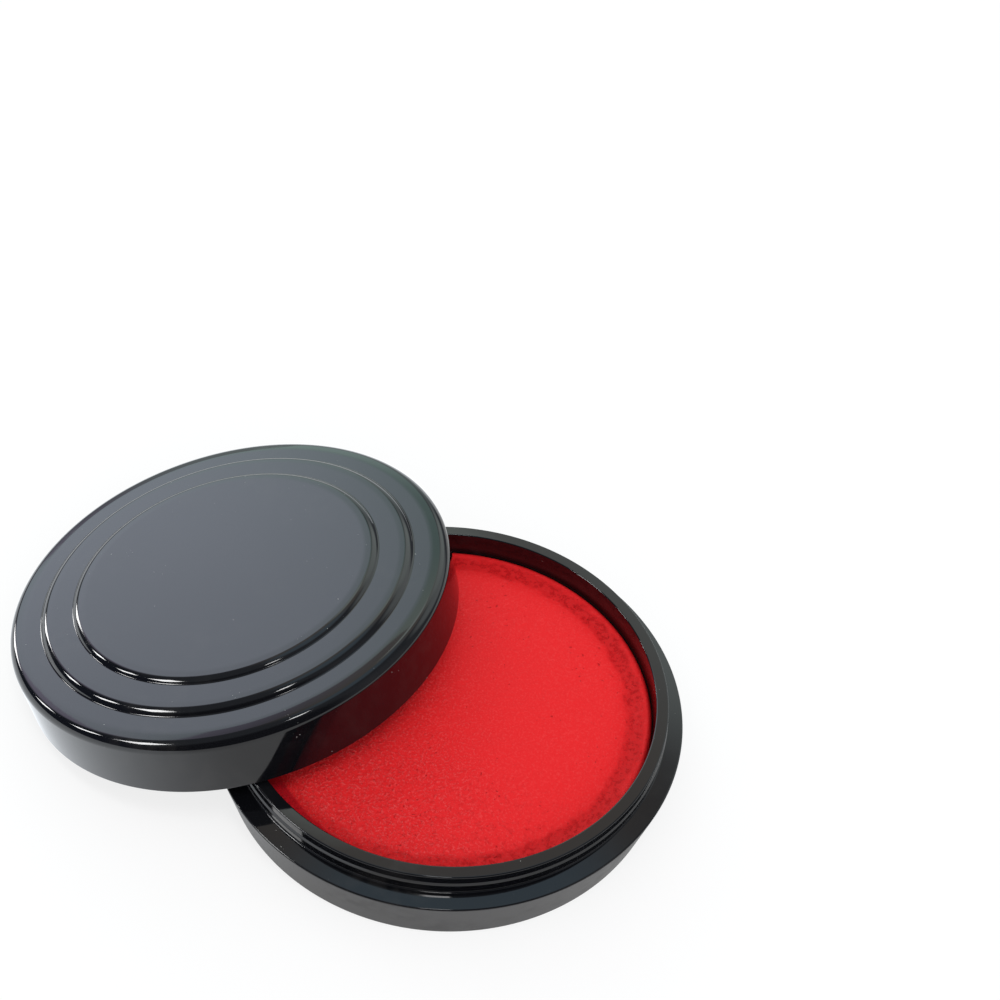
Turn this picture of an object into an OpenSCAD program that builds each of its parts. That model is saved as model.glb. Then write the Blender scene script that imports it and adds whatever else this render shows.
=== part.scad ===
// Round seal paste box: a stepped lid leans on the open box of red paste.
// Millimetres, +Z up. The origin is the centre of the base's underside, on the table.
// The lid leans towards -X, so everything is symmetric about the XZ plane.

/* [Base] */
// Outer diameter of the base across its ledge
base_d = 100; // [90:1:120]
// Height of the ledge's outer edge above the table
ledge_h = 12.7; // [11:0.1:16]
// How far the side wall draws in from the ledge down to the foot
side_taper = 2.7; // [0:0.1:4]
// Width of the ledge that the closed lid stands on
ledge_w = 3.75; // [3.2:0.05:5]
// How far the ledge rises from its outer edge to the neck
ledge_rise = 0.5; // [0:0.1:1]
// Rounding of the ledge's outer edge
ledge_round = 0.35; // [0.1:0.05:0.8]
// Width of the foot ring under the base
foot_w = 8; // [4:0.5:16]
// Depth of the shallow recess inside the foot ring
foot_recess = 1.2; // [0.4:0.1:2]
// Rounding of the foot's outer edge
foot_round = 0.8; // [0.2:0.1:2]

/* [Neck and bowl] */
// Height of the neck's rim above the ledge's outer edge
neck_h = 5.35; // [4.6:0.05:8]
// Thickness of the neck, which is the width of its flat rim
neck_wall = 2.65; // [1.6:0.05:4]
// Rounding of the rim's outer and inner edges
rim_round = 0.3; // [0.1:0.05:0.6]
// Rounding in the corner between the neck and the ledge
neck_root = 0.35; // [0.1:0.05:0.8]
// Depth of the snap bead's middle below the rim
bead_drop = 2.55; // [1.6:0.05:3]
// Radius of the snap bead's cross-section
bead_r = 0.7; // [0.4:0.05:1]
// How far the snap bead stands out of the neck
bead_out = 0.35; // [0.1:0.05:0.4]
// Thickness of the bowl's floor above the recess
floor_t = 1.8; // [1.2:0.1:3]
// Rounding in the corner between the bowl's floor and its wall
floor_round = 2.5; // [1:0.1:4]

/* [Paste] */
// Depth of the paste's outer edge below the rim
paste_drop = 5.3; // [4.8:0.1:8]
// Height of the paste's middle above its outer edge
paste_crown = 0.9; // [0:0.1:0.9]
// Rounding of the paste's outer edge
paste_round = 1.6; // [0.5:0.1:3]
// Distance of the worn valley from the paste's outer edge
valley_in = 6.5; // [4:0.1:12]
// Depth of the worn valley
valley_d = 0.5; // [0:0.05:0.8]
// Half width of the worn valley
valley_w = 2.6; // [1.5:0.1:4]
// Gap between the paste and the bowl's wall
paste_gap = 0.1; // [0.05:0.05:0.3]

/* [Lid] */
// Gap between the closed lid's skirt and the snap bead
lid_gap = 0.2; // [0.1:0.05:0.4]
// Thickness of the skirt
skirt_wall = 1.1; // [0.8:0.05:1.6]
// Height of the lid's outer edge above the skirt's bottom edge, before the edge is rounded
skirt_h = 13; // [10:0.1:16]
// Thickness of the lid's top
top_t = 1.7; // [1.2:0.1:2.4]
// Distance from the lid's outer edge to the foot of the first step
outer_ring_w = 7.4; // [6:0.1:10]
// Distance from the foot of the first step to the foot of the second
inner_ring_w = 7.3; // [6:0.1:10]
// Width of the soft shoulder along the outer edge
edge_shoulder_w = 3.6; // [2:0.1:4]
// How far the lid rises over that shoulder
edge_shoulder_h = 0.47; // [0.2:0.01:0.8]
// Height of the first step, up to the ring
step_h = 1.1; // [0.7:0.1:2]
// Height of the second step, up to the disc
disc_step_h = 0.8; // [0.7:0.1:2]
// Width of the slope of each step
step_w = 0.85; // [0.8:0.05:1.2]
// Width of the soft shoulder above each step
shoulder_w = 2; // [1:0.1:2.4]
// How far the lid rises over that shoulder
shoulder_h = 0.14; // [0.05:0.01:0.3]
// How far each ring rises from its shoulder in to the foot of the next step
ring_rise = 0.18; // [0:0.01:0.4]
// How far the disc rises to its middle
crown_h = 0.3; // [0:0.05:0.8]
// Rounding of the lid's outer edge
edge_round = 2.2; // [1:0.1:3]
// Rounding of the brow of a step
step_round = 2.1; // [0.4:0.05:2.2]
// Rounding in the corner at the foot of a step
step_root = 0.55; // [0.1:0.05:0.6]
// Rounding where a shoulder meets a flat
soft_round = 12; // [4:1:14]
// Rounding of the skirt's bottom edge
lip_round = 0.25; // [0.1:0.05:0.35]
// Rounding in the corner inside the skirt
inner_round = 1; // [0.3:0.1:1.5]

/* [Leaning lid] */
// Distance from the lid's centre to the chord on which the rim carries it
carry = 25.6; // [18:0.1:34]
// Gap left between the leaning lid and the rim
rest_gap = 0.15; // [0.1:0.05:0.3]

/* [Hidden] */
$fn = 128;
ARC_STEPS = 8;
CROWN_STEPS = 24;

base_r = base_d / 2;
foot_r = base_r - side_taper;
foot_in_r = foot_r - foot_w;
side_angle = atan(side_taper / ledge_h);
ledge_angle = atan(ledge_rise / ledge_w);
neck_r = base_r - ledge_w;
bowl_r = neck_r - neck_wall;
rim_z = ledge_h + neck_h;
root_z = ledge_h + ledge_rise;
bead_z = rim_z - bead_drop;
bead_turn = acos(1 - bead_out / bead_r);
floor_z = foot_recess + floor_t;

paste_r = bowl_r - paste_gap;
paste_top_r = paste_r - paste_round;
paste_edge_z = rim_z - paste_drop;
valley_r = paste_r - valley_in;

skirt_in_r = neck_r + bead_out + lid_gap;
lid_r = skirt_in_r + skirt_wall;
ring_r = lid_r - outer_ring_w;
disc_r = ring_r - inner_ring_w;
inside_in = step_w + 0.85 * top_t;

// Heights of the lid's top where its slope changes, from the outer edge to the middle
shoulder_z = skirt_h + edge_shoulder_h;
ring_foot_z = shoulder_z + ring_rise;
ring_z = ring_foot_z + step_h;
disc_foot_z = ring_z + shoulder_h + ring_rise;
disc_z = disc_foot_z + disc_step_h;
crest_r = disc_r - step_w - shoulder_w;

// The rim carries the skirt's inner edge at two points of one chord, and the skirt's
// outer edge stands on the table, which settles the lean and the place of the lid.
carry_r = neck_r;
carry_z = rim_z + rest_gap;
lean = asin(carry_z / (lid_r + carry));
lid_x = carry * cos(lean) + sqrt(carry_r ^ 2 - skirt_in_r ^ 2 + carry ^ 2);
lid_z = (lid_r - lip_round) * sin(lean) + lip_round * (1 - cos(lean));

base_color = [0.13, 0.13, 0.145];
paste_color = [0.80, 0.12, 0.14];

// Points on an arc about a centre, from one angle to another
function arc(centre, r, from, to) =
    [for (i = [0:ARC_STEPS]) let (a = from + (to - from) * i / ARC_STEPS)
        centre + r * [cos(a), sin(a)]];

// Height of the paste's top at a distance from its middle
function paste_z(r) =
    paste_edge_z + paste_crown * (1 - (r / paste_top_r) ^ 2)
    - valley_d * exp(-((r - valley_r) / valley_w) ^ 2);

// A vector's direction
function unit(v) = v / norm(v);

// Rounding of the corner b between its neighbours a and c, from a's side to c's side
function corner_arc(a, b, c, r) =
    let (u = unit(a - b), v = unit(c - b), half = acos(u * v) / 2,
         centre = b + unit(u + v) * r / sin(half), start = b + u * r / tan(half) - centre,
         turn = (180 - 2 * half) * (cross(u, v) > 0 ? -1 : 1),
         steps = ceil(abs(turn) / 11))
    [for (i = [0:steps]) let (t = turn * i / steps)
        centre + [start.x * cos(t) - start.y * sin(t), start.x * sin(t) + start.y * cos(t)]];

// An outline given as corners [r, z, rounding], with each rounding put in
function rounded(corners) =
    [for (i = [0:len(corners) - 1])
        let (b = [corners[i].x, corners[i].y], r = corners[i].z)
            each r == 0 ? [b] : corner_arc([corners[i - 1].x, corners[i - 1].y], b,
                                           [corners[i + 1].x, corners[i + 1].y], r)];

// Corners of one step of the lid: the crest of its shoulder, its brow and its foot
function step_corners(r, foot, top) = [
    [r - step_w - shoulder_w, top + shoulder_h, soft_round],
    [r - step_w, top, step_round],
    [r, foot, step_root]];

// Base: the foot, the tapered side, the ledge, the neck with its bead and the bowl
module base_box() {
    color(base_color)
        rotate_extrude()
            polygon(concat(
                [[0, foot_recess], [foot_in_r - foot_recess, foot_recess], [foot_in_r, 0]],
                arc([foot_r - foot_round, foot_round], foot_round, -90, -side_angle),
                arc([base_r - ledge_round, ledge_h - ledge_round], ledge_round,
                    -side_angle, 90 - ledge_angle),
                arc([neck_r + neck_root, root_z + neck_root], neck_root, 270, 180),
                arc([neck_r + bead_out - bead_r, bead_z], bead_r, -bead_turn, bead_turn),
                arc([neck_r - rim_round, rim_z - rim_round], rim_round, 0, 90),
                arc([bowl_r + rim_round, rim_z - rim_round], rim_round, 90, 180),
                arc([bowl_r - floor_round, floor_z + floor_round], floor_round, 0, -90),
                [[0, floor_z]]));
}

// Paste: fills the bowl, with a soft edge, a worn valley and a low crown
module seal_paste() {
    color(paste_color)
        rotate_extrude()
            polygon(concat(
                [[0, floor_z]],
                arc([paste_r - floor_round, floor_z + floor_round], floor_round, -90, 0),
                arc([paste_top_r, paste_edge_z - paste_round], paste_round, 0, 80),
                [for (i = [0:CROWN_STEPS]) let (r = paste_top_r * (1 - i / CROWN_STEPS))
                    [r, paste_z(r)]]));
}

// Lid in its own frame: the skirt's bottom edge lies on z = 0
module lid_shell() {
    rotate_extrude()
        polygon(rounded(concat(
            [[0, disc_z + shoulder_h + crown_h, 0],
             [crest_r / 2, disc_z + shoulder_h + 0.75 * crown_h, 0]],
            step_corners(disc_r, disc_foot_z, disc_z),
            step_corners(ring_r, ring_foot_z, ring_z),
            [[lid_r - edge_shoulder_w, shoulder_z, soft_round],
             [lid_r, skirt_h, edge_round],
             [lid_r, 0, lip_round],
             [skirt_in_r, 0, lip_round],
             [skirt_in_r, ring_foot_z - top_t, inner_round],
             [ring_r - inside_in, ring_foot_z - top_t, 0],
             [ring_r - inside_in, disc_foot_z - top_t, 0],
             [disc_r - inside_in, disc_foot_z - top_t, 0],
             [disc_r - inside_in, disc_z + shoulder_h + crown_h - top_t, 0],
             [0, disc_z + shoulder_h + crown_h - top_t, 0]])));
}

// Lid where it leans: one edge on the table, the other side up on the rim
module lid() {
    color(base_color)
        translate([-lid_x, 0, lid_z])
            rotate([0, -lean, 0])
                lid_shell();
}

base_box();
seal_paste();
lid();
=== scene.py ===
"""Looks of a round seal paste box: its black base, its red paste and its leaning lid."""
import logging
import math
from collections.abc import Callable, Iterable
from dataclasses import dataclass
from enum import Enum

import bmesh
import bpy
from mathutils import Euler, Matrix, Vector


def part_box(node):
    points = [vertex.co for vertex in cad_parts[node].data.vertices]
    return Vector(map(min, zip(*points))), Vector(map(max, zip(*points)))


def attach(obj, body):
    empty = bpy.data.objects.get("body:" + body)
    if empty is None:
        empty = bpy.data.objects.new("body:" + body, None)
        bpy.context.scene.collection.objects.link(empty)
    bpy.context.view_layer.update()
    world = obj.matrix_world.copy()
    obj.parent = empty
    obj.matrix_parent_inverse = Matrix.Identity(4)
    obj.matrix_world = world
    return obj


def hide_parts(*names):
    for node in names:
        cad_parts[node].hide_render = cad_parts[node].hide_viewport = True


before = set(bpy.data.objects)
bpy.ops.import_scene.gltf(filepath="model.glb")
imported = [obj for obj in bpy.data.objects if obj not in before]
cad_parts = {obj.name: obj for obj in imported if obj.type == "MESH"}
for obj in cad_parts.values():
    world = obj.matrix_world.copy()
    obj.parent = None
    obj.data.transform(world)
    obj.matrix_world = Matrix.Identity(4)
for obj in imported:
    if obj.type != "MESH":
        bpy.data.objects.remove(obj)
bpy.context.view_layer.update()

MM = 0.001
LOG = logging.getLogger("seal_paste_box")

Colour = tuple[float, float, float]
Spot = tuple[float, float, float]
Range = tuple[float, float]
Tint = Colour | bpy.types.NodeSocket
WHITE: Colour = (1.0, 1.0, 1.0)


class Level(Enum):
    """How finely an outline is spun and its roundings are cut."""

    MOULDING = (384, 10)
    PASTE = (640, 6)

    def __init__(self, steps: int, segments: int) -> None:
        """Names the level's two numbers.

        Args:
            steps: How many steps the turn has.
            segments: How many faces a rounding has.
        """
        self.steps = steps
        self.segments = segments


@dataclass(frozen=True)
class Corner:
    """One corner of an outline that is spun about the upright axis, in millimetres."""

    radius: float
    height: float
    rounding: float = 0.0

    def spot(self) -> Vector:
        """The corner's place in the outline's plane, in metres."""
        return Vector((self.radius, 0.0, self.height)) * MM

    def setback(self, before: "Corner", after: "Corner") -> float:
        """How far along its two edges the rounding starts.

        Args:
            before: The outline's corner before this one.
            after: The outline's corner after this one.

        Returns:
            The distance from the corner to each end of the rounding, in metres.
        """
        half = (before.spot() - self.spot()).angle(after.spot() - self.spot()) / 2
        return self.rounding * MM / math.tan(half)


class Bench:
    """Work on one mesh at a time with the modelling operators."""

    WELD = 1e-7
    ROUND = 0.5
    FACE_WEIGHT = 100

    def __init__(self, name: str) -> None:
        """Starts a piece as a plane whose corners are merged into one vertex.

        Args:
            name: The finished piece's name.
        """
        bpy.ops.object.select_all(action="DESELECT")
        bpy.ops.mesh.primitive_plane_add(size=MM)
        self.piece = bpy.context.object
        self.piece.name = name
        bpy.ops.object.mode_set(mode="EDIT")
        bpy.ops.mesh.select_all(action="SELECT")
        bpy.ops.mesh.merge(type="CENTER")

    def select(self, wanted: Callable[[Vector], bool]) -> None:
        """Selects the vertices whose place passes a test, and nothing else.

        Args:
            wanted: Says of a place in metres whether its vertex is selected.
        """
        bpy.ops.mesh.select_mode(type="VERT")
        bpy.ops.mesh.select_all(action="DESELECT")
        shape = bmesh.from_edit_mesh(self.piece.data)
        for vertex in shape.verts:
            vertex.select = wanted(vertex.co)
        shape.select_flush_mode()
        bmesh.update_edit_mesh(self.piece.data)

    def draw(self, corners: list[Corner]) -> None:
        """Extrudes the single vertex along an outline, corner by corner.

        Args:
            corners: The outline's corners in order.
        """
        bpy.ops.transform.translate(value=corners[0].spot())
        for last, corner in zip(corners, corners[1:]):
            step = corner.spot() - last.spot()
            bpy.ops.mesh.extrude_vertices_move(TRANSFORM_OT_translate={"value": step})

    def round_off(self, corners: list[Corner], level: Level) -> None:
        """Bevels each corner that has a rounding.

        Args:
            corners: The outline's corners in order.
            level: How finely the roundings are cut.
        """
        for before, corner, after in zip(corners, corners[1:], corners[2:]):
            if corner.rounding:
                spot = corner.spot()
                self.select(lambda place, spot=spot: (place - spot).length < self.WELD)
                bpy.ops.mesh.bevel(
                    affect="VERTICES",
                    offset_type="OFFSET",
                    offset=corner.setback(before, after),
                    segments=level.segments,
                    profile=self.ROUND,
                )

    def spin(self, level: Level) -> None:
        """Turns the outline once about the upright axis and closes its seam and poles.

        Args:
            level: How many steps the turn has.
        """
        bpy.ops.object.mode_set(mode="OBJECT")
        bpy.ops.object.modifier_add(type="SCREW")
        turn = self.piece.modifiers[-1]
        turn.steps = turn.render_steps = level.steps
        turn.use_merge_vertices = True
        turn.merge_threshold = self.WELD
        bpy.ops.object.modifier_apply(modifier=turn.name)
        bpy.ops.object.mode_set(mode="EDIT")
        bpy.ops.mesh.select_all(action="SELECT")
        bpy.ops.mesh.remove_doubles(threshold=self.WELD)
        bpy.ops.mesh.normals_make_consistent(inside=False)

    def finish(self, wall_normals: bool = True) -> bpy.types.Object:
        """Leaves edit mode and shades the piece smooth.

        Args:
            wall_normals: Whether flat faces keep their own normals next to roundings.

        Returns:
            The finished piece.
        """
        bpy.ops.object.mode_set(mode="OBJECT")
        bpy.ops.object.shade_smooth()
        if wall_normals:
            bpy.ops.object.modifier_add(type="WEIGHTED_NORMAL")
            normals = self.piece.modifiers[-1]
            normals.weight = self.FACE_WEIGHT
            bpy.ops.object.modifier_apply(modifier=normals.name)
        return self.piece


def lathed(name: str, corners: list[Corner], level: Level) -> bpy.types.Object:
    """Turns an outline into a closed round piece.

    Args:
        name: The piece's name.
        corners: The outline's corners, from the axis round to the axis again.
        level: How finely the outline is spun and rounded.

    Returns:
        The piece, with its place in its mesh.
    """
    bench = Bench(name)
    bench.draw(corners)
    bench.round_off(corners, level)
    bench.spin(level)
    return bench.finish(level is Level.MOULDING)


class Value:
    """A number that varies over a surface. Its operators add the Math nodes they stand for."""

    def __init__(self, shader: "Shader", socket: bpy.types.NodeSocket) -> None:
        """Wraps a node's output.

        Args:
            shader: The shader that the output belongs to.
            socket: The output.
        """
        self.shader = shader
        self.socket = socket

    def _math(self, operation: str, *operands: "Value | float") -> "Value":
        """Adds one Math node.

        Args:
            operation: The node's operation.
            operands: Its inputs in order.

        Returns:
            The node's result.
        """
        node = self.shader.add("ShaderNodeMath", {"operation": operation}, dict(enumerate(operands)))
        return Value(self.shader, node.outputs[0])

    def __add__(self, other: "Value | float") -> "Value":
        """This plus other."""
        return self._math("ADD", self, other)

    __radd__ = __add__

    def __mul__(self, other: "Value | float") -> "Value":
        """This times other."""
        return self._math("MULTIPLY", self, other)

    __rmul__ = __mul__

    def __sub__(self, other: "Value | float") -> "Value":
        """This minus other."""
        return self._math("SUBTRACT", self, other)

    def __rsub__(self, other: "Value | float") -> "Value":
        """Other minus this."""
        return self._math("SUBTRACT", other, self)

    def __neg__(self) -> "Value":
        """This with its sign turned."""
        return self * -1.0

    def __pow__(self, other: "Value | float") -> "Value":
        """This to the power of other."""
        return self._math("POWER", self, other)

    def __abs__(self) -> "Value":
        """This without its sign."""
        return self._math("ABSOLUTE", self)

    def step(self, low: float, high: float) -> "Value":
        """Turns this into 0 below low and 1 above high, with a smooth rise between.

        Args:
            low: Where the rise starts.
            high: Where the rise ends.

        Returns:
            The smooth step.
        """
        settings = {"interpolation_type": "SMOOTHSTEP"}
        inputs = {"Value": self, "From Min": low, "From Max": high}
        return Value(self.shader, self.shader.add("ShaderNodeMapRange", settings, inputs).outputs[0])

    def above(self, least: float) -> "Value":
        """Lifts a share of 0 to 1 so that it starts at a least share.

        Args:
            least: The share that 0 turns into.

        Returns:
            The lifted share.
        """
        return least + (1 - least) * self


@dataclass(frozen=True)
class Layer:
    """One layer of soft noise: its lumps' width in millimetres, its height and its detail."""

    size: float
    height: float = 1.0
    detail: float = 1.0
    bite: float = 0.5


@dataclass(frozen=True)
class Spots:
    """Soft spots where noise rises past a level: their width in millimetres, level and detail."""

    size: float
    low: float
    high: float
    detail: float = 1.0
    bite: float = 0.5


class Shader:
    """One node tree, written as expressions."""

    # The middle of a noise, and the Mix node's colour sockets by their numbers.
    MIDDLE = 0.5
    MIX_LOW, MIX_HIGH, MIX_RESULT = 6, 7, 2

    def __init__(self, owner: bpy.types.Material | bpy.types.World) -> None:
        """Empties the tree of a material or of the world.

        Args:
            owner: What the tree belongs to.
        """
        owner.use_nodes = True
        self.owner = owner
        self.tree = owner.node_tree
        self.tree.nodes.clear()

    def add(self, kind: str, settings: dict, inputs: dict) -> bpy.types.Node:
        """Adds a node.

        Args:
            kind: The node's type.
            settings: The node's own settings, which are set first.
            inputs: Values or links by the name or the number of the socket.

        Returns:
            The node.
        """
        node = self.tree.nodes.new(kind)
        for name, setting in settings.items():
            setattr(node, name, setting)
        for name, value in inputs.items():
            if isinstance(value, Value):
                value = value.socket
            if isinstance(value, bpy.types.NodeSocket):
                self.tree.links.new(value, node.inputs[name])
            else:
                node.inputs[name].default_value = value
        return node

    def ray(self, kind: str) -> Value:
        """Whether the light path is of one kind, as 1 or 0."""
        return Value(self, self.add("ShaderNodeLightPath", {}, {}).outputs[kind])

    def place(self, centre: Vector | None = None, turn: Euler | None = None) -> bpy.types.NodeSocket:
        """The surface's place in the piece's own frame, in metres.

        Args:
            centre: Where the piece's own origin lies in the shared frame.
            turn: How the piece is turned in the shared frame.

        Returns:
            The place as a vector.
        """
        coordinate = self.add("ShaderNodeTexCoord", {}, {}).outputs["Object"]
        inputs = {"Vector": coordinate, "Location": centre or Vector(), "Rotation": turn or Euler()}
        return self.add("ShaderNodeMapping", {"vector_type": "TEXTURE"}, inputs).outputs[0]

    def vector(self, operation: str, *operands: bpy.types.NodeSocket | Vector | Spot) -> bpy.types.Node:
        """Adds one Vector Math node.

        Args:
            operation: The node's operation.
            operands: Its inputs in order.

        Returns:
            The node.
        """
        return self.add("ShaderNodeVectorMath", {"operation": operation}, dict(enumerate(operands)))

    def along(self, place: bpy.types.NodeSocket, axis: str) -> Value:
        """One coordinate of a place.

        Args:
            place: The place, in metres.
            axis: The coordinate's letter: X, Y or Z.

        Returns:
            The coordinate in millimetres.
        """
        return Value(self, self.add("ShaderNodeSeparateXYZ", {}, {0: place}).outputs[axis]) * (1 / MM)

    def from_axis(self, centre: Vector | None = None) -> Value:
        """How far the surface lies from an upright axis.

        Args:
            centre: A point on the axis, in metres.

        Returns:
            The distance in millimetres.
        """
        flat = self.vector("MULTIPLY", self.place(centre), (1, 1, 0)).outputs["Vector"]
        return Value(self, self.vector("LENGTH", flat).outputs["Value"]) * (1 / MM)

    def noise(self, place: bpy.types.NodeSocket, kind: Layer | Spots) -> Value:
        """Soft noise about a middle of one half.

        Args:
            place: The place that it varies with.
            kind: Its width, how many finer layers it has and how strong each of them is.

        Returns:
            The noise.
        """
        scale = 1 / (kind.size * MM)
        inputs = {"Vector": place, "Scale": scale, "Detail": kind.detail, "Roughness": kind.bite}
        return Value(self, self.add("ShaderNodeTexNoise", {}, inputs).outputs["Fac"])

    def layer(self, place: bpy.types.NodeSocket, layer: Layer, middle: float = 0.0) -> Value:
        """One layer of noise at its own height.

        Args:
            place: The place that it varies with.
            layer: The layer.
            middle: The noise that stands for a height of 0, as MIDDLE does for noise about 0.

        Returns:
            The layer's height.
        """
        return layer.height * (self.noise(place, layer) - middle)

    def spots(self, place: bpy.types.NodeSocket, *kinds: Spots) -> Value:
        """Spots that show only where each kind of them lies.

        Args:
            place: The place that they vary with.
            kinds: The kinds of spots.

        Returns:
            1 on a spot and 0 away from it.
        """
        masks = [self.noise(place, kind).step(kind.low, kind.high) for kind in kinds]
        return math.prod(masks[1:], start=masks[0])

    def strands(self, place: bpy.types.NodeSocket, net: Layer, thinness: float) -> Value:
        """A net of fine wandering lines.

        Args:
            place: The place that it varies with.
            net: The noise whose middle the lines follow.
            thinness: How thin the lines are, as a power.

        Returns:
            1 on a line and 0 away from it.
        """
        return (1 - abs(2 * self.noise(place, net) - 1)) ** thinness

    def blend(self, share: Value, low: Tint, high: Tint) -> bpy.types.NodeSocket:
        """Blends two colours, each of them plain or varying.

        Args:
            share: How much of the second colour shows.
            low: The first colour.
            high: The second colour.

        Returns:
            The blended colour.
        """
        low, high = ((*tint, 1.0) if isinstance(tint, tuple) else tint for tint in (low, high))
        inputs = {0: share, self.MIX_LOW: low, self.MIX_HIGH: high}
        return self.add("ShaderNodeMix", {"data_type": "RGBA"}, inputs).outputs[self.MIX_RESULT]

    def bump(self, height: Value, distance: float) -> bpy.types.NodeSocket:
        """Turns a height into a surface normal.

        Args:
            height: The height, from 0 to 1.
            distance: The depth that a height of 1 stands for, in millimetres.

        Returns:
            The normal.
        """
        inputs = {"Strength": 1.0, "Distance": distance * MM, "Height": height}
        return self.add("ShaderNodeBump", {}, inputs).outputs[0]

    def surface(self, inputs: dict) -> bpy.types.Material:
        """Closes the tree with its surface shader.

        Args:
            inputs: The shader's values or links by the name of the socket.

        Returns:
            The material.
        """
        shader = self.add("ShaderNodeBsdfPrincipled", {}, inputs)
        self.add("ShaderNodeOutputMaterial", {}, {"Surface": shader.outputs[0]})
        return self.owner


@dataclass(frozen=True)
class GlossPlastic:
    """Polished black plastic with faint handling marks, a few specks of dust and a matt side."""

    name: str
    matt_below: float = 0.0
    matt_fade: float = 0.3
    colour: Colour = (0.0032, 0.0034, 0.0044)
    marked: Colour = (0.0085, 0.0082, 0.0088)
    dust: Colour = (0.30, 0.30, 0.29)
    matt_tint: float = 0.4
    gloss: float = 0.05
    haze: float = 0.07
    matt: float = 0.32
    dusty: float = 0.5
    index: float = 1.50
    smears: tuple[Spots, ...] = (Spots(16, 0.50, 0.72, 4), Spots(3.2, 0.36, 0.62, 3))
    specks: tuple[Spots, ...] = (Spots(0.42, 0.845, 0.87, 0), Spots(7, 0.55, 0.66))
    swell: Layer = Layer(7)
    ripple: Layer = Layer(1.3, 0.12)
    grain: Layer = Layer(0.5, 1.2, 2, 0.6)
    relief: float = 0.010

    def material(self, centre: Vector | None = None, turn: Euler | None = None) -> bpy.types.Material:
        """Makes the finish for one moulding.

        Args:
            centre: Where the moulding's own origin lies in the shared frame.
            turn: How the moulding is turned.

        Returns:
            The material.
        """
        shader = Shader(bpy.data.materials.new(self.name))
        place = shader.place(centre, turn)
        smears = shader.spots(place, *self.smears)
        specks = shader.spots(place, *self.specks)
        side = 1 - shader.along(place, "Z").step(self.matt_below - self.matt_fade, self.matt_below)
        ripple = shader.layer(place, self.swell) + shader.layer(place, self.ripple)
        tone = shader.blend(smears + self.matt_tint * side, self.colour, self.marked)
        return shader.surface({
            "Base Color": shader.blend(specks, tone, self.dust),
            "Roughness": self.gloss + self.haze * smears + self.matt * side + self.dusty * specks,
            "IOR": self.index,
            "Normal": shader.bump(ripple + shader.layer(place, self.grain) * side, self.relief),
        })


@dataclass(frozen=True)
class Mark:
    """How strongly one kind of mark shows in the paste's colour and in its relief."""

    tint: float
    relief: float = 0.0


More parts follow.
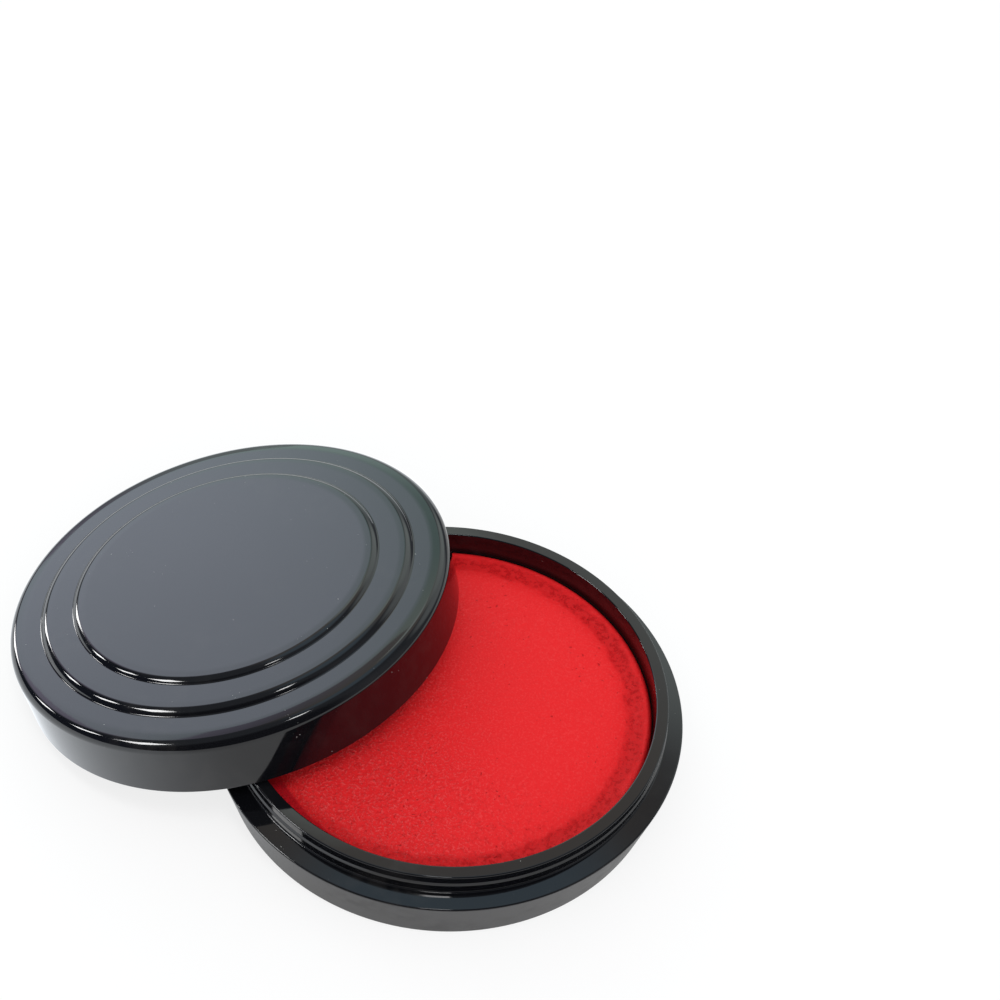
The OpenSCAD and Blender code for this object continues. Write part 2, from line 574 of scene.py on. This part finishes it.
@dataclass(frozen=True)
class SealPaste:
    """Vermilion paste of fine plant fibre, oily and finely grained; its colour carries painted glint
    specks and painted shade.

    Lengths are in millimetres. A rise says where a kind of mark starts and where it shows in
    full, and a least share is what is left of it elsewhere.
    """

    radius: float
    worn: float
    name: str = "seal_paste"
    colour: Colour = (0.69, 0.016, 0.019)
    # Pale tint of the fibres and of the painted glint specks.
    pale: Colour = (1.00, 0.19, 0.19)
    # Shade colour: painted shade in pits, in nooks and along the wall.
    shade: Colour = (0.36, 0.003, 0.005)
    # The next colour is painted shade for the crescent along the rim at the front left.
    rim_shade_colour: Colour = (0.42, 0.006, 0.013)
    groove: Colour = (0.38, 0.003, 0.005)
    index: float = 1.45
    sheen: float = 0.10
    roughness: float = 0.48
    roughness_matted: float = -0.14
    roughness_grain: float = 0.25
    relief: float = 0.20
    matted_towards: float = -142.0
    matted_rise: Range = (-14, 24)
    matted_edge: Layer = Layer(14, 26, 2)
    matted_least: float = 0.15
    net: Layer = Layer(0.6, 0.65)
    net_thinness: float = 7
    net_gaps: Spots = Spots(0.5, 0.48, 0.64)
    glints: Spots = Spots(0.34, 0.64, 0.78)
    glints_share: float = 0.75
    # The fibre mark covers both the fibre net and the painted glint specks.
    fibre_and_glint_mark: Mark = Mark(0.48, 0.7)
    grain: Layer = Layer(0.5, 1.0, 3, 0.7)
    grain_rise: Range = (0.45, 0.75)
    grain_tint: float = 0.06
    grain_relief: float = 0.25
    grain_relief_matted: float = 0.9
    front_rise: Range = (4, 30)
    nooks: Spots = Spots(0.9, 0.52, 0.66, 3, 0.65)
    nooks_matted: float = 0.45
    nooks_front: float = 0.85
    nooks_spared: float = 0.7
    nooks_mark: Mark = Mark(0.32, -0.3)
    pits: tuple[Spots, ...] = (Spots(0.75, 0.71, 0.76), Spots(10, 0.42, 0.55))
    pits_mark: Mark = Mark(0.55, -0.9)
    ring_out: float = 1.1
    ring_edge: Layer = Layer(3.5, 2.4, 3)
    ring_tightness: float = 0.18
    ring_gaps: Spots = Spots(9, 0.16, 0.40, 2)
    ring_rise: Range = (-38, -6)
    ring_least: float = 0.45
    ring_mark: Mark = Mark(0.88, -0.5)
    cracks: Spots = Spots(1.0, 0.50, 0.58, 3, 0.7)
    cracks_least: float = 0.52
    # Painted shade: a darker crescent along the rim at the front left.
    rim_shade: Spot = (3.4, 2.2, 0.0)
    rim_shade_edge: Layer = Layer(3, 1.4, 3)
    rim_shade_rise: Range = (-0.5, 0.1)
    rim_shade_mark: Mark = Mark(0.95)
    # Painted shade: a darker band on the paste next to the bowl's wall.
    wall_shade_rise: Range = (-1.3, -0.3)
    wall_shade_mark: Mark = Mark(0.75)

    def ring(self, shader: Shader, place: bpy.types.NodeSocket, side: Value) -> Value:
        """The cracked and worn ring near the paste's edge.

        Args:
            shader: The finish's shader.
            place: The surface's place.
            side: How far the surface lies towards the matted side, in millimetres.

        Returns:
            1 where the paste is worn most and 0 away from the ring.
        """
        away = shader.from_axis() - (self.worn + self.ring_out)
        away = away + shader.layer(place, self.ring_edge, Shader.MIDDLE)
        band = (1 - away * away * self.ring_tightness).step(0.0, 1.0)
        cracks = shader.spots(place, self.cracks).above(self.cracks_least)
        strength = (-side).step(*self.ring_rise).above(self.ring_least)
        return band * cracks * strength * shader.spots(place, self.ring_gaps)

    def material(self) -> bpy.types.Material:
        """Makes the paste's finish: smooth where pressing flattened it, matted at the front left, with
        painted glint specks and painted shade.

        Returns:
            The material.
        """
        shader = Shader(bpy.data.materials.new(self.name))
        place = shader.place()
        side = shader.along(shader.place(turn=Euler((0, 0, math.radians(self.matted_towards)))), "X")
        matted = side + shader.layer(place, self.matted_edge, Shader.MIDDLE)
        matted = matted.step(*self.matted_rise).above(self.matted_least)
        net = shader.strands(place, self.net, self.net_thinness) * shader.spots(place, self.net_gaps)
        # Painted glints: pale specks standing in for lamps glinting on the grain, added to the fibre
        # net at the matted front left.
        glints = shader.spots(place, self.glints)
        fibre = (self.net.height * net + self.glints_share * glints) * matted
        grain = shader.layer(place, self.grain)
        front = (-shader.along(place, "Y")).step(*self.front_rise) * (1 - self.nooks_spared * matted)
        nooks = self.nooks_matted * matted + self.nooks_front * front
        nooks = nooks * shader.spots(place, self.nooks)
        pits = shader.spots(place, *self.pits)
        ring = self.ring(shader, place, side)
        # Painted shade: outside a circle set off towards the back right, a darker crescent lies along
        # the rim at the front left.
        rim_shade = shader.from_axis(Vector(self.rim_shade) * MM) - self.radius
        rim_shade = (rim_shade + shader.layer(place, self.rim_shade_edge, Shader.MIDDLE)).step(*self.rim_shade_rise)
        # Painted shade: the paste turns darker within about a millimetre of the bowl's wall.
        edge = (shader.from_axis() - self.radius).step(*self.wall_shade_rise)
        # The pale tint comes from the fibres, the grain tops and the painted glint specks.
        fibre_and_glint_paleness = self.fibre_and_glint_mark.tint * fibre + self.grain_tint * grain.step(*self.grain_rise)
        tone = shader.blend(fibre_and_glint_paleness, self.colour, self.pale)
        tone = shader.blend(self.rim_shade_mark.tint * rim_shade, tone, self.rim_shade_colour)
        tone = shader.blend(self.ring_mark.tint * ring, tone, self.groove)
        # Painted shade: the pits and nooks, which the relief also sinks, and the band by the wall turn
        # towards the shade colour.
        painted_shade = self.pits_mark.tint * pits + self.nooks_mark.tint * nooks + self.wall_shade_mark.tint * edge
        marks = (
            (self.fibre_and_glint_mark, fibre),
            (self.pits_mark, pits),
            (self.nooks_mark, nooks),
            (self.ring_mark, ring),
        )
        relief = (self.grain_relief + self.grain_relief_matted * matted) * grain
        for mark, kind in marks:
            relief = relief + mark.relief * kind
        roughness = self.roughness + self.roughness_matted * matted
        return shader.surface({
            "Base Color": shader.blend(painted_shade, tone, self.shade),
            "Roughness": roughness + self.roughness_grain * (grain - Shader.MIDDLE),
            "IOR": self.index,
            "Specular IOR Level": self.sheen,
            "Normal": shader.bump(relief, self.relief),
        })


@dataclass
class Base:
    """The base: foot, tapered side, ledge, neck with its snap bead, and bowl."""

    radius: float
    rim_height: float
    ledge_height: float = 12.7
    side_taper: float = 2.7
    ledge_width: float = 3.75
    ledge_rise: float = 0.5
    ledge_rounding: float = 0.35
    foot_width: float = 8.0
    foot_recess: float = 1.2
    foot_rounding: float = 0.8
    recess_rounding: float = 0.3
    neck_wall: float = 2.65
    neck_root: float = 0.35
    rim_rounding: float = 0.3
    bead_drop: float = 2.55
    bead_half: float = 0.606
    bead_out: float = 0.35
    bead_rounding: float = 0.5
    bead_root: float = 0.12
    floor_thickness: float = 1.8
    floor_rounding: float = 2.5

    @property
    def neck_radius(self) -> float:
        """Outer radius of the neck."""
        return self.radius - self.ledge_width

    @property
    def bowl_radius(self) -> float:
        """Inner radius of the neck, which is the bowl's."""
        return self.neck_radius - self.neck_wall

    @property
    def floor_height(self) -> float:
        """Height of the bowl's floor above the table."""
        return self.foot_recess + self.floor_thickness

    def edge(self) -> Corner:
        """The ledge's outer corner, set so that its rounding reaches the base's full radius.

        Returns:
            The corner.
        """
        side = Vector((self.ledge_height, -self.side_taper)).normalized()
        ledge = Vector((self.ledge_rise, self.ledge_width)).normalized()
        middle = Vector((self.radius - self.ledge_rounding, self.ledge_height - self.ledge_rounding))
        spot = middle + (side + ledge) * self.ledge_rounding / (1 + side.dot(ledge))
        return Corner(spot.x, spot.y, self.ledge_rounding)

    def outline(self) -> list[Corner]:
        """The base's outline, from the recess under it round to the bowl's floor.

        Returns:
            The corners in order.
        """
        foot = self.radius - self.side_taper
        inner_foot = foot - self.foot_width
        neck = self.neck_radius
        root = self.ledge_height + self.ledge_rise
        bead = self.rim_height - self.bead_drop
        return [
            Corner(0, self.foot_recess),
            Corner(inner_foot - self.foot_recess, self.foot_recess, self.recess_rounding),
            Corner(inner_foot, 0, self.recess_rounding),
            Corner(foot, 0, self.foot_rounding),
            self.edge(),
            Corner(neck, root, self.neck_root),
            Corner(neck, bead - self.bead_half, self.bead_root),
            Corner(neck + self.bead_out, bead, self.bead_rounding),
            Corner(neck, bead + self.bead_half, self.bead_root),
            Corner(neck, self.rim_height, self.rim_rounding),
            Corner(self.bowl_radius, self.rim_height, self.rim_rounding),
            Corner(self.bowl_radius, self.floor_height, self.floor_rounding),
            Corner(0, self.floor_height),
        ]

    def build(self) -> bpy.types.Object:
        """Models and dresses the base.

        Returns:
            The piece.
        """
        piece = lathed("base_moulding", self.outline(), Level.MOULDING)
        piece.data.materials.append(GlossPlastic("base_plastic", self.ledge_height).material())
        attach(piece, "base")
        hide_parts("base_box")
        return piece


class Lump(Enum):
    """The kinds of relief that roughen the paste, as settings of a clouds texture."""

    SWELL = {"noise_depth": 1}
    CRUMBS = {"noise_depth": 2, "noise_type": "HARD_NOISE"}


@dataclass(frozen=True)
class Relief:
    """One layer of relief, in millimetres, on the vertices of one group."""

    lump: Lump
    size: float
    depth: float
    group: str
    middle: float = 0.5

    def apply(self, piece: bpy.types.Object) -> None:
        """Displaces the piece upwards and down.

        Args:
            piece: The piece, which is selected and active.
        """
        texture = bpy.data.textures.new(f"{self.group}_{self.lump.name.lower()}", "CLOUDS")
        texture.noise_scale = self.size * MM
        for name, setting in self.lump.value.items():
            setattr(texture, name, setting)
        bpy.ops.object.modifier_add(type="DISPLACE")
        displace = piece.modifiers[-1]
        displace.texture = texture
        displace.direction = "Z"
        displace.mid_level = self.middle
        displace.strength = self.depth * MM
        displace.vertex_group = self.group
        bpy.ops.object.modifier_apply(modifier=displace.name)


@dataclass
class Paste:
    """The paste: a soft edge, a worn valley near it and a low crown."""

    radius: float
    top_height: float
    floor_height: float
    crown: float = 0.9
    rounding: float = 1.1
    floor_rounding: float = 2.5
    valley_in: float = 4.7
    valley_depth: float = 0.36
    valley_width: float = 1.9
    wear_towards: float = -52.0
    wear_out: float = 0.6
    wear_reach: float = 1.7
    wear_spread: float = 5.0
    wear_least: float = 0.25
    rings: int = 120
    reliefs: tuple[Relief, ...] = (
        Relief(Lump.SWELL, 11, 0.24, "top", 0.55),
        Relief(Lump.SWELL, 2.6, 0.10, "top", 0.55),
        Relief(Lump.CRUMBS, 0.8, 0.10, "top", 0.45),
        Relief(Lump.CRUMBS, 1.6, 0.20, "worn", 0.55),
        Relief(Lump.CRUMBS, 0.7, 0.15, "worn", 0.5),
    )

    @property
    def shoulder(self) -> float:
        """How far out the top reaches before its edge is rounded."""
        return self.radius - self.rounding

    @property
    def edge_height(self) -> float:
        """Height of the top at its edge, before the edge is rounded."""
        return self.top_height - self.crown

    @property
    def valley_radius(self) -> float:
        """How far out the worn valley lies."""
        return self.radius - self.valley_in

    def height(self, radius: float) -> float:
        """Height of the top at a distance from the middle.

        Args:
            radius: The distance from the middle.

        Returns:
            The height.
        """
        dome = self.top_height - self.crown * (radius / self.shoulder) ** 2
        across = (radius - self.valley_radius) / self.valley_width
        return dome - self.valley_depth * math.exp(-(across ** 2))

    def outline(self) -> list[Corner]:
        """The paste's outline, from its underside round to the middle of its top.

        Returns:
            The corners in order.
        """
        top = [self.shoulder * (1 - ring / self.rings) for ring in range(1, self.rings + 1)]
        return [
            Corner(0, self.floor_height),
            Corner(self.radius, self.floor_height, self.floor_rounding),
            Corner(self.radius, self.edge_height, self.rounding),
            *(Corner(radius, self.height(radius)) for radius in top),
        ]

    def wear(self, place: Vector) -> float:
        """How worn the top is: most in the valley, and wider and stronger towards the front right.

        Args:
            place: A place in metres.

        Returns:
            The wear from 0 to 1.
        """
        round_ = math.atan2(place.y, place.x) - math.radians(self.wear_towards)
        side = (1 + math.cos(round_)) / 2
        across = place.xy.length / MM - self.valley_radius - self.wear_out
        reach = self.wear_reach if across > 0 else self.wear_reach + self.wear_spread * side ** 3
        return math.exp(-((across / reach) ** 2)) * (self.wear_least + (1 - self.wear_least) * side)

    def roughen(self, piece: bpy.types.Object) -> None:
        """Gives the top its grain, its crumbs and its worn valley.

        Args:
            piece: The smooth paste.
        """
        low = self.edge_height - self.rounding / 2 - self.valley_depth
        wide = self.radius - self.rounding / 2
        for name, weight in (("top", lambda place: 1.0), ("worn", self.wear)):
            group = piece.vertex_groups.new(name=name)
            for vertex in piece.data.vertices:
                spot = vertex.co
                if spot.z / MM > low and spot.xy.length / MM < wide:
                    group.add([vertex.index], weight(spot), "REPLACE")
        for relief in self.reliefs:
            relief.apply(piece)

    def build(self) -> bpy.types.Object:
        """Models and dresses the paste.

        Returns:
            The piece.
        """
        piece = lathed("paste_fill", self.outline(), Level.PASTE)
        self.roughen(piece)
        piece.data.materials.append(SealPaste(self.radius, self.valley_radius).material())
        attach(piece, "base")
        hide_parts("seal_paste")
        return piece


@dataclass
class Lid:
    """The lid: two soft steps up to a raised disc, a rounded edge and a straight skirt."""

    radius: float
    rim_height: float
    corner: Vector
    rim_gap: float = 0.15
    carry: float = 25.6
    skirt_wall: float = 1.1
    edge_height: float = 13.0
    edge_rounding: float = 2.2
    edge_shoulder: float = 3.6
    edge_shoulder_rise: float = 0.47
    outer_ring: float = 7.4
    inner_ring: float = 7.3
    ring_rise: float = 0.18
    step_rises: tuple[float, float] = (1.1, 0.8)
    step_width: float = 0.85
    shoulder: float = 2.0
    shoulder_rise: float = 0.14
    crown: float = 0.3
    step_rounding: float = 2.1
    step_root: float = 0.55
    soft_rounding: float = 12.0
    top_thickness: float = 1.7
    lip_rounding: float = 0.25
    inner_rounding: float = 1.0
    ceiling_rounding: float = 0.2
    ceiling_inset: float = 0.85

    @property
    def lean(self) -> Euler:
        """How the lid is turned: one edge on the table, the other side on the rim."""
        rise = self.rim_height + self.rim_gap
        return Euler((0, -math.asin(rise / (self.radius + self.carry)), 0))

    def outline(self) -> list[Corner]:
        """The lid's outline in its own frame, with the skirt's bottom edge at height 0.

        Returns:
            The corners in order.
        """
        wall = self.radius - self.skirt_wall
        height = self.edge_height + self.edge_shoulder_rise
        top = [
            Corner(self.radius, self.edge_height, self.edge_rounding),
            Corner(self.radius - self.edge_shoulder, height, self.soft_rounding),
        ]
        inside = [Corner(self.radius, 0, self.lip_rounding), Corner(wall, 0, self.lip_rounding)]
        foot = self.radius
        for ring, rise in zip((self.outer_ring, self.inner_ring), self.step_rises):
            foot -= ring
            height += self.ring_rise
            brow = foot - self.step_width
            top += [
                Corner(foot, height, self.step_root),
                Corner(brow, height + rise, self.step_rounding),
                Corner(brow - self.shoulder, height + rise + self.shoulder_rise, self.soft_rounding),
            ]
            ceiling = height - self.top_thickness
            inset = brow - self.ceiling_inset * self.top_thickness
            for radius in (inside[-1].radius, inset):
                inside.append(Corner(radius, ceiling, self.ceiling_rounding))
            height += rise + self.shoulder_rise
        middle = height + self.crown
        top += [Corner(top[-1].radius / 2, middle - self.crown / 4), Corner(0, middle)]
        ceiling = middle - self.top_thickness
        inside += [Corner(inside[-1].radius, ceiling, self.ceiling_rounding), Corner(0, ceiling)]
        inside[2] = Corner(wall, inside[2].height, self.inner_rounding)
        return [*reversed(top), *inside]

    def build(self) -> bpy.types.Object:
        """Models the lid upright, leans it over to its place and dresses it.

        Returns:
            The piece.
        """
        piece = lathed("lid_moulding", self.outline(), Level.MOULDING)
        piece.rotation_euler = self.lean
        bpy.ops.object.transform_apply(location=False, rotation=True, scale=False)
        low = Vector(map(min, *(vertex.co for vertex in piece.data.vertices)))
        place = Vector((self.corner.x - low.x, 0, self.corner.z - low.z))
        piece.location = place
        bpy.ops.object.transform_apply(location=True, rotation=False, scale=False)
        piece.data.materials.append(GlossPlastic("lid_plastic").material(place, self.lean))
        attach(piece, "lid")
        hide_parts("lid")
        return piece


def heading(azimuth: float, elevation: float) -> Vector:
    """The direction towards a point round the box.

    Args:
        azimuth: Degrees round from the front, towards +X.
        elevation: Degrees above the table.

    Returns:
        The direction, of length 1.
    """
    round_, up = math.radians(azimuth), math.radians(elevation)
    across = math.cos(up)
    return Vector((math.sin(round_) * across, -math.cos(round_) * across, math.sin(up)))


@dataclass(frozen=True)
class View:
    """The photograph's camera: its place, its aim and its lens, on a square frame."""

    place: Spot = (0.0751, -0.1961, 0.2823)
    azimuth: float = 19.21
    elevation: float = 44.79
    roll: float = 6.10
    lens: float = 57.6

    def build(self) -> None:
        """Adds the camera to the scene."""
        back = heading(self.azimuth, self.elevation)
        across = heading(self.azimuth + 90, 0)
        turn = Matrix.Rotation(math.radians(self.roll), 3, back)
        right, up = turn @ across, turn @ back.cross(across)
        camera = bpy.data.objects.new("camera", bpy.data.cameras.new("camera"))
        camera.data.lens = self.lens
        camera.matrix_world = Matrix((right, up, back)).transposed().to_4x4()
        camera.location = self.place
        bpy.context.scene.collection.objects.link(camera)
        bpy.context.scene.camera = camera


class Reach(Enum):
    """What a lamp lights: matt surfaces and gloss, or one of the two."""

    ALL = (True, True)
    MATT = (True, False)
    GLOSS = (False, True)


@dataclass(frozen=True)
class Lamp:
    """One soft rectangular lamp, whose place and breadth are given as angles from the box."""

    name: str
    azimuth: float
    elevation: float
    breadth: float
    rise: float
    radiance: float
    colour: Colour = WHITE
    reach: Reach = Reach.ALL
    distance: float = 3.0

    def build(self) -> None:
        """Adds the lamp to the scene, facing the box."""
        data = bpy.data.lights.new(self.name, "AREA")
        data.shape = "RECTANGLE"
        data.size = 2 * self.distance * math.tan(math.radians(self.breadth / 2))
        data.size_y = 2 * self.distance * math.tan(math.radians(self.rise / 2))
        data.energy = self.radiance * math.pi * data.size * data.size_y
        data.color = self.colour
        lamp = bpy.data.objects.new(self.name, data)
        away = heading(self.azimuth, self.elevation)
        lamp.location = away * self.distance
        lamp.rotation_euler = away.to_track_quat("Z", "Y").to_euler()
        lamp.visible_camera = False
        lamp.visible_diffuse, lamp.visible_glossy = self.reach.value
        bpy.context.scene.collection.objects.link(lamp)


@dataclass(frozen=True)
class Patch:
    """A soft round part of the surround, in one colour and brightness."""

    azimuth: float
    elevation: float
    edge: float
    core: float
    colour: Colour

    def over(self, shader: Shader, way: bpy.types.NodeSocket, around: Tint) -> bpy.types.NodeSocket:
        """Lays the patch over what the surround shows so far.

        Args:
            shader: The surround's shader.
            way: The direction that is looked at.
            around: The surround's colour without the patch.

        Returns:
            The surround's colour with the patch.
        """
        towards = shader.vector("DOT_PRODUCT", way, heading(self.azimuth, self.elevation))
        edge, core = (math.cos(math.radians(angle)) for angle in (self.edge, self.core))
        share = Value(shader, towards.outputs["Value"]).step(edge, core)
        return shader.blend(share, around, self.colour)


@dataclass(frozen=True)
class Studio:
    """A pale table, a surround that is white to the camera, and soft lamps."""

    table_size: float = 8.0
    table_colour: Colour = (0.86, 0.86, 0.87)
    table_drop: float = 0.00005
    table_lift: float = 0.78
    mirrored_lift: float = 0.55
    mirrored: Colour = (0.76, 0.76, 0.76)
    # Painted light seen in gloss: the table glows brighter towards the left.
    painted_light_pool: Colour = (1.80, 1.90, 2.02)
    painted_light_pool_rise: Range = (5, 70)
    fill: Colour = (0.29, 0.29, 0.29)
    fill_patches: tuple[Patch, ...] = (
        Patch(34, 46, 80, 15, (1.36, 1.36, 1.36)),
        Patch(-128, 30, 50, 15, (1.15, 1.23, 1.25)),
    )
    room: Colour = (0.22, 0.24, 0.27)
    room_patches: tuple[Patch, ...] = (
        Patch(-158, 58, 26, 11, (0.84, 0.76, 0.68)),
        Patch(-172, 76, 20, 8, (0.60, 0.80, 0.96)),
        Patch(85, 25, 40, 12, (0.30, 0.31, 0.34)),
        Patch(-150, 0, 28, 14, (0.85, 0.98, 0.98)),
        Patch(22, 15, 60, 38, (0.02, 0.02, 0.025)),
        Patch(-65, 6, 48, 26, (0.04, 0.05, 0.09)),
        Patch(152, 31, 26, 10, (1.15, 1.25, 1.25)),
        Patch(-176, 33, 22, 8, (1.45, 1.62, 1.58)),
        Patch(-152, 50, 8, 3, (2.10, 2.40, 2.30)),
        Patch(-121, 29, 25, 3, (1.66, 1.52, 2.03)),
    )

    def table(self) -> None:
        """Lays the table, which shows nearly white to the camera and keeps its shadows; in gloss it
        glows, brighter towards the left as painted light.
        """
        bpy.ops.object.select_all(action="DESELECT")
        bpy.ops.mesh.primitive_plane_add(size=self.table_size, location=(0, 0, -self.table_drop))
        table = bpy.context.object
        table.name = "table"
        shader = Shader(bpy.data.materials.new("table"))
        camera, gloss = shader.ray("Is Camera Ray"), shader.ray("Is Glossy Ray")
        seen = self.table_lift * camera + self.mirrored_lift * gloss
        matt = shader.add("ShaderNodeBsdfDiffuse", {}, {"Color": (*self.table_colour, 1.0)})
        # Painted light: in gloss the table's glow rises towards the left.
        left = (-shader.along(shader.place(), "X")).step(*self.painted_light_pool_rise)
        mirrored = shader.blend(left, self.mirrored, self.painted_light_pool)
        light = shader.blend(camera, mirrored, WHITE)
        glow = shader.add("ShaderNodeEmission", {}, {"Color": light})
        shades = {0: seen, 1: matt.outputs[0], 2: glow.outputs[0]}
        both = shader.add("ShaderNodeMixShader", {}, shades)
        shader.add("ShaderNodeOutputMaterial", {}, {"Surface": both.outputs[0]})
        table.data.materials.append(shader.owner)

    def surround(self) -> None:
        """Fills the surround: white to the camera, a room with windows in gloss, and a soft fill."""
        world = bpy.data.worlds.new("surround")
        bpy.context.scene.world = world
        shader = Shader(world)
        way = shader.add("ShaderNodeTexCoord", {}, {}).outputs["Generated"]
        fill, room = self.fill, self.room
        for patch in self.fill_patches:
            fill = patch.over(shader, way, fill)
        for patch in self.room_patches:
            room = patch.over(shader, way, room)
        around = shader.blend(shader.ray("Is Glossy Ray"), fill, room)
        around = shader.blend(shader.ray("Is Camera Ray"), around, WHITE)
        glow = shader.add("ShaderNodeBackground", {}, {"Color": around})
        shader.add("ShaderNodeOutputWorld", {}, {"Surface": glow.outputs[0]})

    def build(self, lamps: Iterable[Lamp]) -> None:
        """Lays the table, fills the surround and hangs the lamps.

        Args:
            lamps: The lamps.
        """
        self.table()
        self.surround()
        for lamp in lamps:
            lamp.build()
        bpy.context.scene.view_settings.view_transform = "Standard"


LAMPS = (
    Lamp("overhead", 45, 68, 10, 10, 20.0, reach=Reach.MATT),
    Lamp("front_left_window", -53, 43, 14, 11, 22.0, reach=Reach.GLOSS),
    Lamp("left_window", -71, 30, 6, 9, 22.0, reach=Reach.GLOSS),
    Lamp("left_spot", -87, 21, 5, 7, 22.0, reach=Reach.GLOSS),
    Lamp("left_strip", -104, 10, 6, 14, 16.0, reach=Reach.GLOSS),
    Lamp("ceiling", 25, 76, 6, 6, 18.0),
    Lamp("back_window", -130, 29, 38, 34, 0.98, (0.66, 1.02, 0.92)),
)


def main() -> None:
    """Builds the view, the studio and the box's three pieces."""
    logging.basicConfig(level=logging.INFO, format="%(name)s: %(message)s")
    View().build()
    Studio().build(LAMPS)
    base_high, paste_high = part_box("base_box")[1] / MM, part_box("seal_paste")[1] / MM
    lid_low, lid_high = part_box("lid")
    base = Base(base_high.x, base_high.z)
    paste = Paste(paste_high.x, paste_high.z, base.floor_height)
    lid = Lid(lid_high.y / MM, base_high.z, lid_low)
    for part in (base, paste, lid):
        piece = part.build()
        LOG.info("%s: %d faces", piece.name, len(piece.data.polygons))


if __name__ == "__main__":
    main()
